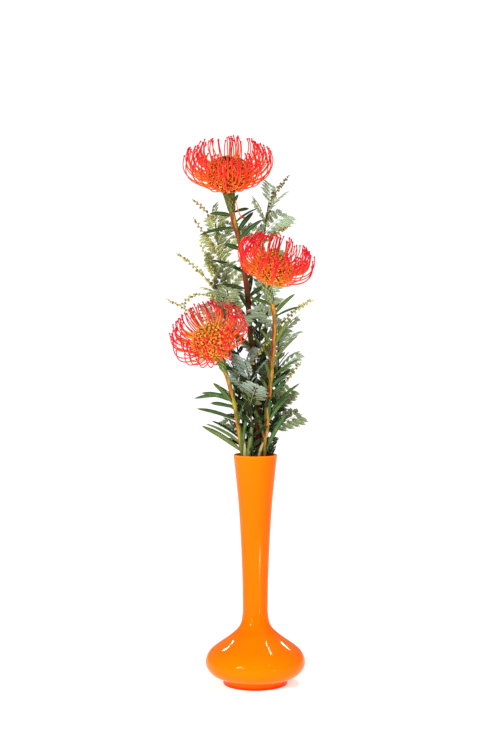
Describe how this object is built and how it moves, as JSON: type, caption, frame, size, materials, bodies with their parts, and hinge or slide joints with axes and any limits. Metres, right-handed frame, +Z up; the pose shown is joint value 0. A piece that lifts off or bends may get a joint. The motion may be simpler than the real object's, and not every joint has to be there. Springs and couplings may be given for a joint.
{
  "type": "bud vase with pincushion proteas",
  "caption": "Tall bud vase with a round base, water, pincushion protea stems with leaves, and silver wattle sprays with bud racemes",
  "frame": {"origin": "centre of the vase's flat foot, on the surface it stands on", "axes": "+Z is up, along the vase's axis; -Y is the side seen in the picture; +X is to the right there"},
  "size_m": [0.1681, 0.1603, 0.617],
  "materials": {
    "glass": "glossy opaque orange",
    "water": "clear liquid",
    "protea_foliage": "satin green leaves and red-green stem",
    "protea_flower": "satin orange to red",
    "wattle_foliage": "matte silver green",
    "wattle_buds": "matte yellow green"
  },
  "bodies": {
    "root": {"vase": "glass", "water": "water", "protea_top_stem": "protea_foliage", "protea_top_head": "protea_flower", "protea_right_stem": "protea_foliage", "protea_right_head": "protea_flower", "protea_left_stem": "protea_foliage", "protea_left_head": "protea_flower", "wattle_back_left_spray": "wattle_foliage", "wattle_back_left_raceme_1": "wattle_buds", "wattle_back_left_raceme_2": "wattle_buds", "wattle_back_right_spray": "wattle_foliage", "wattle_back_right_raceme_1": "wattle_buds", "wattle_back_right_raceme_2": "wattle_buds", "wattle_back_right_raceme_3": "wattle_buds", "wattle_front_spray": "wattle_foliage", "wattle_front_raceme_1": "wattle_buds", "wattle_right_spray": "wattle_foliage", "wattle_right_raceme_1": "wattle_buds", "wattle_right_raceme_2": "wattle_buds", "wattle_left_spray": "wattle_foliage", "wattle_left_raceme_1": "wattle_buds", "wattle_left_raceme_2": "wattle_buds", "wattle_left_raceme_3": "wattle_buds", "wattle_left_raceme_4": "wattle_buds", "wattle_back_spray": "wattle_foliage", "wattle_back_raceme_1": "wattle_buds", "wattle_back_raceme_2": "wattle_buds"}
  },
  "joints": []
}
